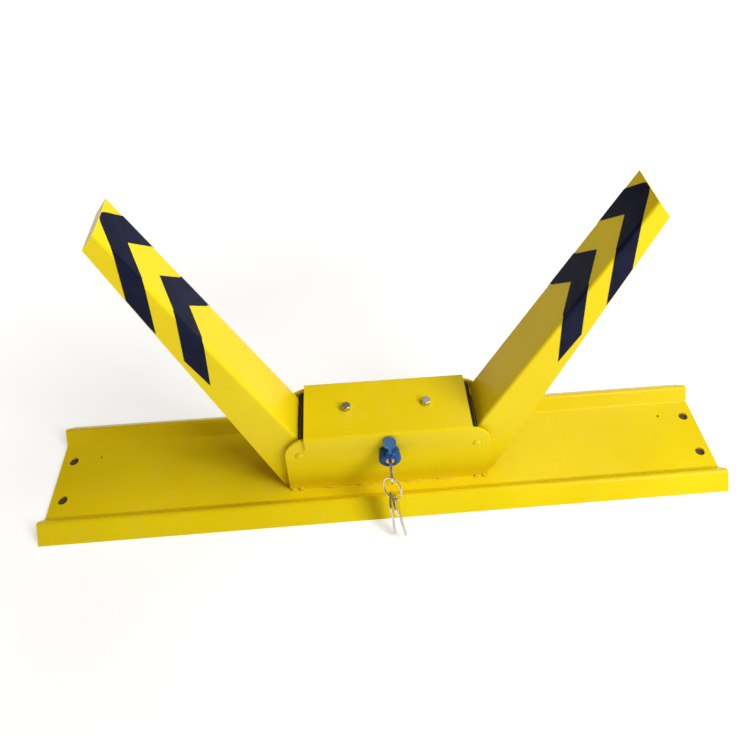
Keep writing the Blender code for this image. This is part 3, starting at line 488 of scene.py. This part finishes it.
def arm_lower_edge(u):
    return ARM_HEEL_N + (ARM_TIP_CUT_N - ARM_HEEL_N) * u / ARM_TIP_CUT_U


def arm_place(sign):
    u = Vector((sign * math.cos(ARM_ANGLE), 0, math.sin(ARM_ANGLE)))
    n = Vector((-sign * math.sin(ARM_ANGLE), 0, math.cos(ARM_ANGLE)))
    return at(sign * PIVOT_X, 0, PIVOT_Z) @ Matrix((u, n, u.cross(n))).transposed().to_4x4()


def film_row(start_u, side, stand):
    """(u, n, across) points from the centre line out, round the bend and down one leg."""
    top_slope, side_slope, leg_n, edge_gap = 1.06, 1.72, -16.5 * MM, 0.6 * MM
    top_steps, bend_steps, leg_steps = 6, 10, 8
    edge, bend_n = ARM_HALF_TIP - ARM_BEND, ARM_TOP_N - ARM_BEND
    points = [(start_u - top_slope * edge * i / top_steps, ARM_TOP_N + stand, edge * i / top_steps)
              for i in range(top_steps + 1)]
    r = ARM_BEND + stand
    for i in range(1, bend_steps + 1):
        turn = math.radians(90 * i / bend_steps)
        u = start_u - top_slope * (edge + ARM_BEND * math.sin(turn)) \
            - side_slope * ARM_BEND * (1 - math.cos(turn))
        half = arm_half_width(u) + stand
        points.append((u, bend_n + r * math.cos(turn), half - r + r * math.sin(turn)))
    bend_u = points[-1][0]
    rise = (arm_lower_edge(1.0) - arm_lower_edge(0.0)) * side_slope
    above_edge = arm_lower_edge(bend_u - side_slope * bend_n) + edge_gap
    end_n = max(leg_n, above_edge / (1 - rise))
    for i in range(1, leg_steps + 1):
        n = bend_n + (end_n - bend_n) * i / leg_steps
        u = bend_u - side_slope * (bend_n - n)
        points.append((u, n, arm_half_width(u) + stand))
    return [(min(u, ARM_TIP_U - edge_gap), n, side * v) for u, n, v in points]


def grid_rim(rows, columns):
    """The (row, column) places round the edge of a grid, in order."""
    return [(i, 0) for i in range(rows)] + [(rows - 1, j) for j in range(1, columns)] + \
        [(i, columns - 1) for i in range(rows - 2, -1, -1)] + \
        [(0, j) for j in range(columns - 2, 0, -1)]


def make_film(name, sign, lead, trail):
    """A V-shaped strip of film that follows the arm's top, bends and sides."""
    stand, thick, row_steps = 0.04 * MM, 0.22 * MM, 4
    place = arm_place(sign)
    bm = bmesh.new()
    shells = []
    for height in (stand, stand + thick):
        shell = []
        for k in range(row_steps + 1):
            start = trail + (lead - trail) * k / row_steps
            row = film_row(start, -1, height)[:0:-1] + film_row(start, 1, height)
            shell.append([bm.verts.new(place @ Vector(p)) for p in row])
        shells.append(shell)
    inner, outer = shells
    rows, columns = len(inner), len(inner[0])
    for shell in shells:
        for a, b in zip(shell, shell[1:]):
            for j in range(columns - 1):
                bm.faces.new((a[j], b[j], b[j + 1], a[j + 1]))
    rim = grid_rim(rows, columns)
    for (i, j), (k, m) in zip(rim, rim[1:] + rim[:1]):
        bm.faces.new((inner[i][j], inner[k][m], outer[k][m], outer[i][j]))
    as_object(name + "_film", bm, BODY_OF[name], "dark_reflective_film", [name],
              smooth_below=40)


def make_films():
    """Two V-shaped strips on each arm, at its tip and further down."""
    for side, sign in SIDES.items():
        for row, (lead, trail) in FILMS.items():
            make_film(f"{side}_{row}_chevron", sign, lead, trail)


# ---------------------------------------------------------------- bolts, pins, washers

def hexagon_reach(angle, corner):
    """How far a hexagon with blunted corners reaches, at an angle from a flat's middle."""
    blunt = 0.12 * MM
    flat = BOLT_HEX / math.cos((angle + math.pi / 6) % (math.pi / 3) - math.pi / 6)
    return min(flat, corner - blunt)


def hexagon_head(x, seat):
    """A bolt's head: a washer face below, six flats and a chamfered crown."""
    steps, facing = 72, math.radians(50)
    washer_r, crown_r = BOLT_HEX * 0.95, BOLT_HEX * 0.94
    corner = BOLT_HEX / math.cos(math.radians(30))
    levels = [(0.0, washer_r), (0.25 * MM, washer_r), (0.30 * MM, corner),
              (BOLT_HEAD - 0.9 * MM, corner), (BOLT_HEAD - 0.35 * MM, corner * 0.965),
              (BOLT_HEAD, crown_r)]
    bm = bmesh.new()
    rings = []
    for z, widest in levels:
        ring = []
        for i in range(steps):
            angle = 2 * math.pi * i / steps
            r, turn = min(hexagon_reach(angle, corner), widest), angle + facing
            ring.append(bm.verts.new((x + r * math.cos(turn), r * math.sin(turn), seat + z)))
        rings.append(ring)
    for a, b in zip(rings, rings[1:]):
        for i in range(steps):
            j = (i + 1) % steps
            bm.faces.new((a[i], a[j], b[j], b[i]))
    bm.faces.new(rings[0][::-1])
    bm.faces.new(rings[-1])
    return bm


def make_cover_bolts():
    """Hexagon bolts with a chamfered crown, a washer face and a plain shank."""
    seat, shank_r, shank_end_r = COVER_TOP + 0.3 * MM, 2.5 * MM, 2.0 * MM
    for side, sign in SIDES.items():
        node = f"{side}_cover_bolt"
        low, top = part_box(node)[0].z, seat + 0.1 * MM
        shank = turned([(0, low), (shank_end_r, low), (shank_r, low + 0.5 * MM), (shank_r, top),
                        (0, top)], 32, at(sign * BOLT_X))
        as_object(node + "_detail", merged(hexagon_head(sign * BOLT_X, seat), shank), BODY_OF[node],
                  "zinc_plated_steel", [node], smooth_below=28)


def make_pivots():
    """Domed and painted pivot pins, their clips, sleeves and washers."""
    groove_r, groove_front, groove_rear = 3.1 * MM, -CHEEK_Y - 0.5 * MM, -CHEEK_Y - 2.1 * MM
    for side, sign in SIDES.items():
        node = f"{side}_pivot_pin"
        low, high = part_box(node)
        front, rear = -low.y, -high.y
        profile = [(0.0, front), (1.6 * MM, front - 0.06 * MM), (2.7 * MM, front - 0.28 * MM),
                   (3.5 * MM, front - 0.68 * MM), (3.9 * MM, front - 1.15 * MM),
                   (PIVOT_R, front - 1.5 * MM), (PIVOT_R, groove_front), (groove_r, groove_front),
                   (groove_r, groove_rear), (PIVOT_R, groove_rear), (PIVOT_R, rear + 0.7 * MM),
                   (3.3 * MM, rear), (0.0, rear)]
        bm = turned(profile, 56, at(sign * PIVOT_X, 0, PIVOT_Z) @ UPRIGHT)
        as_object(node + "_detail", bm, BODY_OF[node], "yellow_powder_coat", [node])
        softened(f"{side}_pin_clip", "zinc_plated_steel", 0.12 * MM, 2)
        softened(f"{side}_pivot_sleeve", "bare_steel", 0.3 * MM, 2)
        for end in ("front", "rear"):
            softened(f"{side}_{end}_washer", "nylon", 0.3 * MM, 2)


# ---------------------------------------------------------------- lock

def cap_ear(sign):
    """One of the two hinge ears on top of the cap."""
    foot = LOCK_Z + math.sqrt(CAP_R ** 2 - EAR_OUTER ** 2) - 0.8 * MM
    outline = [(HINGE_Y - EAR_R + 0.5 * MM, foot - 1.1 * MM), (HINGE_Y + EAR_R + 0.3 * MM, foot)] + \
        arc(HINGE_Y, HINGE_Z, EAR_R, 0, 180, 12)
    return plate([outline], EAR_OUTER - EAR_INNER,
                 at(sign * (EAR_INNER + EAR_OUTER) / 2) @ SIDEWAYS, 0.25 * MM, 3)


def make_cap():
    """The blue cap with its rounded rim, hole and two ears, and the lock parts behind it."""
    hole, rim, seat_r = PLUG_FACE_R + 0.5 * MM, 4.4 * MM, 10.1 * MM
    inside_r, hole_edge = BARREL_HEAD_R + 0.3 * MM, 0.3 * MM
    face, inner_face = CAP_FRONT - 0.35 * MM, CAP_FRONT - CAP_WALL
    profile = [(seat_r, CAP_SEAT), (inside_r, CAP_SEAT), (inside_r, inner_face),
               (hole, inner_face), (hole, face - hole_edge)]
    profile += arc(hole + hole_edge, face - hole_edge, hole_edge, 180, 90, 4)
    profile += [(CAP_R - rim - 0.9 * MM, face), (CAP_R - rim - 0.3 * MM, CAP_FRONT)]
    profile += arc(CAP_R - rim, CAP_FRONT - rim, rim, 90, 0, 18)
    cap = turned(profile, 80, FACE_OUT)
    ears = [cap_ear(sign) for sign in SIDES.values()]
    as_object("lock_cap_detail", merged(cap, *ears), "root", "blue_plastic", ["lock_cap"])
    softened("lock_barrel", "zinc_plated_steel", 0.2 * MM, 2)
    softened("lock_nut", "zinc_plated_steel", 0.3 * MM, 2)
    softened("dust_cover_pin", "zinc_plated_steel", 0.1 * MM, 2)


def make_flap():
    """The dust cover: a shallow dished disc with a rounded rim and its hinge barrel."""
    node = "dust_cover"
    place = at(0, HINGE_Y, HINGE_Z) @ Matrix.Rotation(-FLAP_LEAN, 4, "X")
    half, dish, rounding = FLAP_T / 2, 0.35 * MM, 0.6 * MM
    inner, rim_x = FLAP_R - 1.3 * MM, FLAP_R - rounding
    profile = [(0, -half), (rim_x, -half)] + \
        arc(rim_x, -half + rounding, rounding, -90, 0, 4)[1:] + \
        arc(rim_x, half - rounding, rounding, 0, 90, 4) + \
        [(inner, half), (inner - 0.5 * MM, half - dish), (0, half - dish)]
    disc = turned(profile, 72, place @ at(z=FLAP_UP) @ UPRIGHT)
    neck_half, neck_low, neck_high = 1.5 * MM, 0.6 * MM, 4.9 * MM
    neck = plate([[(-neck_half, neck_low), (neck_half, neck_low), (neck_half, neck_high),
                   (-neck_half, neck_high)]], FLAP_T * 0.9, place @ UPRIGHT, 0.2 * MM)
    bore_r, end_r, barrel_r, body_half, end_half = 0.9 * MM, 1.35 * MM, 1.5 * MM, 1.4 * MM, 1.6 * MM
    barrel = turned([(bore_r, -end_half), (end_r, -end_half), (barrel_r, -body_half),
                     (barrel_r, body_half), (end_r, end_half), (bore_r, end_half)],
                    36, place @ SIDEWAYS)
    as_object("dust_cover_detail", merged(disc, neck, barrel), BODY_OF[node],
              "pale_blue_plastic", [node])


def make_plug():
    """The brass plug with its keyway, and the cam on its tail, from their CAD nodes."""
    softened("lock_plug", "brass", 0.18 * MM, 3)
    for node, slot in (("cam_plate", "zinc_plated_steel"), ("cam_screw", "zinc_plated_steel"),
                       ("left_cam_pin", "bare_steel"), ("right_cam_pin", "bare_steel")):
        softened(node, slot, 0.2 * MM, 2)


def make_latch():
    """Bolts, lugs and guides inside the box, and the cover's straps and nuts."""
    for side in SIDES:
        softened(f"{side}_latch_bolt", "zinc_plated_steel", 0.3 * MM, 2)
        softened(f"{side}_latch_lug", "bare_steel", 0.3 * MM, 2)
        softened(f"{side}_bolt_guide", "zinc_plated_steel", 0.3 * MM, 2)
        softened(f"{side}_guide_screw", "zinc_plated_steel", 0.15 * MM, 2)
        softened(f"{side}_cover_bridge", "zinc_plated_steel", 0.3 * MM, 2)
        softened(f"{side}_cover_nut", "zinc_plated_steel", 0.3 * MM, 2)


# ---------------------------------------------------------------- keys

def key_outline():
    """Bow centre at the origin, blade along +a, its cuts along one edge."""
    joint = math.degrees(math.asin(BLADE_HALF / BOW_R))
    tip, half = SHOULDER + BLADE, BLADE_HALF
    first_cut, cut_pitch = SHOULDER + 4.5 * MM, 4.2 * MM
    cuts = []
    for i, deep in enumerate((1.2 * MM, 2.0 * MM, 0.8 * MM, 1.7 * MM)):
        a = first_cut + i * cut_pitch
        cuts += [(a - 1.2 * MM, half), (a, half - deep), (a + 0.8 * MM, half - deep),
                 (a + 2.0 * MM, half)]
    return arc(0, 0, BOW_R, joint, 360 - joint, 56) + \
        [(tip - 2.5 * MM, -half), (tip, -half + 2.5 * MM), (tip, half - 3.5 * MM),
         (tip - 3.0 * MM, half)] + cuts[::-1]


def groove(bm, low, high, across, depth, top):
    """Sink a straight milled groove into the flat face at height top."""
    cuts = [((0, y, 0), (0, 1, 0)) for y in across] + [((x, 0, 0), (1, 0, 0)) for x in (low, high)]
    for point, direction in cuts:
        bmesh.ops.bisect_plane(bm, geom=bm.verts[:] + bm.edges[:] + bm.faces[:],
                               plane_co=point, plane_no=direction, dist=WELD / 50)
    inside = [f for f in bm.faces
              if abs(f.normal.z) > 0.99 and abs(f.calc_center_median().z - top) < 2 * WELD
              and low < f.calc_center_median().x < high
              and across[0] < f.calc_center_median().y < across[1]]
    sunk = bmesh.ops.extrude_face_region(bm, geom=inside)["geom"]
    bmesh.ops.delete(bm, geom=inside, context="FACES")
    moved = [g for g in sunk if isinstance(g, bmesh.types.BMVert)]
    bmesh.ops.translate(bm, verts=moved, vec=(0, 0, -math.copysign(depth, top)))

def make_key(node, place, thickness):
    """A flat key with rounded edges and a milled groove along each side of its blade."""
    low, high, depth = 6.0 * MM, SHOULDER + BLADE - 3.2 * MM, 0.45 * MM
    across = (-1.7 * MM, -0.7 * MM)
    hole = arc(-HOLE_FROM_BOW, 0, KEY_HOLE_R, 0, 360, 32)[:-1]
    bm = plate([key_outline(), hole], thickness, Matrix(), 0.25 * MM, 3)
    for top in (thickness / 2, -thickness / 2):
        groove(bm, low, high, across, depth, top)
    bmesh.ops.transform(bm, matrix=place, verts=bm.verts)
    as_object(node + "_detail", bm, BODY_OF[node], "nickel_plate", [node], smooth_below=30)


def ring_section(bm, place, angle, shift):
    """Points round the flat wire, at an angle on the ring, shifted along its axis."""
    half_w, half_h, squareness = 0.42 * MM, 0.62 * MM, 0.6
    out = Vector((math.cos(angle), math.sin(angle), 0))
    section = []
    for k in range(RING_SIDES):
        b = 2 * math.pi * k / RING_SIDES
        w = math.copysign(abs(math.cos(b)) ** squareness, math.cos(b)) * half_w
        h = math.copysign(abs(math.sin(b)) ** squareness, math.sin(b)) * half_h
        section.append(bm.verts.new(place @ (out * (RING_R + h) + Vector((0, 0, shift + w)))))
    return section


def make_ring():
    """A split ring: two turns of flat wire side by side, stepping over each other."""
    steps, turns, first_angle = 144, 2.0, 0.6
    half_gap, swap_from, swap_length = 0.45 * MM, 0.90, 0.2
    down = Vector((0, -math.sin(RING_LEAN), -math.cos(RING_LEAN)))
    tangent = Matrix.Rotation(RING_TWIST, 3, down) @ Vector((1, 0, 0))
    hang = Vector((0, BOW_Y - HOLE_FROM_BOW, LOCK_Z))
    place = at(*(hang + down * RING_R)) @ \
        Matrix((tangent, down, tangent.cross(down))).transposed().to_4x4()
    bm = bmesh.new()
    rings = []
    for i in range(steps + 1):
        t = turns * i / steps
        swap = min(1.0, max(0.0, (t - swap_from) / swap_length))
        shift = -half_gap + 2 * half_gap * (swap * swap * (3 - 2 * swap))
        rings.append(ring_section(bm, place, 2 * math.pi * t + first_angle, shift))
    for a, b in zip(rings, rings[1:]):
        for k in range(RING_SIDES):
            j = (k + 1) % RING_SIDES
            bm.faces.new((a[k], a[j], b[j], b[k]))
    bm.faces.new(rings[0])
    bm.faces.new(rings[-1])
    as_object("key_ring_detail", bm, BODY_OF["key_ring"], "nickel_plate", ["key_ring"])
    return hang, down, tangent


def make_keys():
    """The key in the lock, the ring through its bow and the two spare keys on the ring."""
    make_key("key", at(0, BOW_Y, LOCK_Z) @ SIDEWAYS, KEY_T)
    hang_point, down, tangent = make_ring()
    bottom = hang_point + down * 2 * RING_R
    for number, (offset, lean, fan_angle) in SPARES.items():
        hang = Vector((0, -math.sin(lean), -math.cos(lean)))
        side = Matrix.Rotation(SPARE_TWIST, 3, hang) @ Vector((1, 0, 0))
        fan = Matrix.Rotation(fan_angle, 3, side.cross(hang))
        blade, thickness = fan @ hang, fan @ side
        turn = Matrix((blade, thickness.cross(blade), thickness)).transposed().to_4x4()
        rise = RING_R - math.sqrt(RING_R ** 2 - offset ** 2)
        hole = bottom + tangent * offset - down * rise
        make_key(f"spare_key_{number}", at(*hole) @ turn @ at(x=HOLE_FROM_BOW), SPARE_T)


# ---------------------------------------------------------------- stage

def make_floor():
    """A large pale sheet just below the tray."""
    half, cells, below_tray = 4.0, 8, 0.2 * MM
    bm = bmesh.new()
    bmesh.ops.create_grid(bm, x_segments=cells, y_segments=cells, size=half)
    mesh = bpy.data.meshes.new("studio_floor")
    bm.to_mesh(mesh)
    bm.free()
    mesh.materials.append(floor_material())
    floor = bpy.data.objects.new("studio_floor", mesh)
    bpy.context.scene.collection.objects.link(floor)
    floor.location.z = -below_tray


def area_light(name, place, power, colour):
    """A square lamp that looks at the middle of the box."""
    aim = Vector((0.0, 0.0, 0.08))
    light = bpy.data.lights.new(name, "AREA")
    light.shape = "SQUARE"
    light.size = 0.55
    light.energy = power
    light.color = colour
    obj = bpy.data.objects.new(name, light)
    bpy.context.scene.collection.objects.link(obj)
    obj.location = place
    obj.rotation_mode = "QUATERNION"
    obj.rotation_quaternion = (aim - Vector(place)).to_track_quat("-Z", "Y")


def make_lights():
    """Three lamps on the right and behind, and a dim warm light from all round."""
    warm, cool = (1.0, 0.99, 0.97), (0.97, 0.98, 1.0)
    area_light("key_light", (0.84, -0.70, 0.87), 9.7, warm)
    area_light("upper_key", (0.60, -0.20, 1.20), 6.2, warm)
    area_light("rear_light", (0.50, 0.70, 1.00), 1.8, cool)
    world = bpy.data.worlds.new("studio")
    world.use_nodes = True
    sky = world.node_tree.nodes["Background"]
    sky.inputs["Color"].default_value = (1.0, 0.74, 0.50, 1.0)
    sky.inputs["Strength"].default_value = 0.21
    bpy.context.scene.world = world


def make_camera():
    """The camera of the matched view: place in metres, turns in degrees."""
    place, turns = (-0.02135, -0.39172, 0.57894), (41.5, 0.41, -4.91)
    data = bpy.data.cameras.new("camera")
    data.sensor_width, data.lens = 36.0, 30.625
    data.shift_x = -0.0267
    data.clip_start, data.clip_end = 0.02, 50.0
    camera = bpy.data.objects.new("camera", data)
    bpy.context.scene.collection.objects.link(camera)
    camera.location = place
    camera.rotation_euler = [math.radians(turn) for turn in turns]
    bpy.context.scene.camera = camera
    bpy.context.scene.view_settings.view_transform = "Standard"


make_camera()
make_steelwork()
make_welds()
make_films()
make_cover_bolts()
make_pivots()
make_cap()
make_flap()
make_plug()
make_latch()
make_keys()
make_floor()
make_lights()
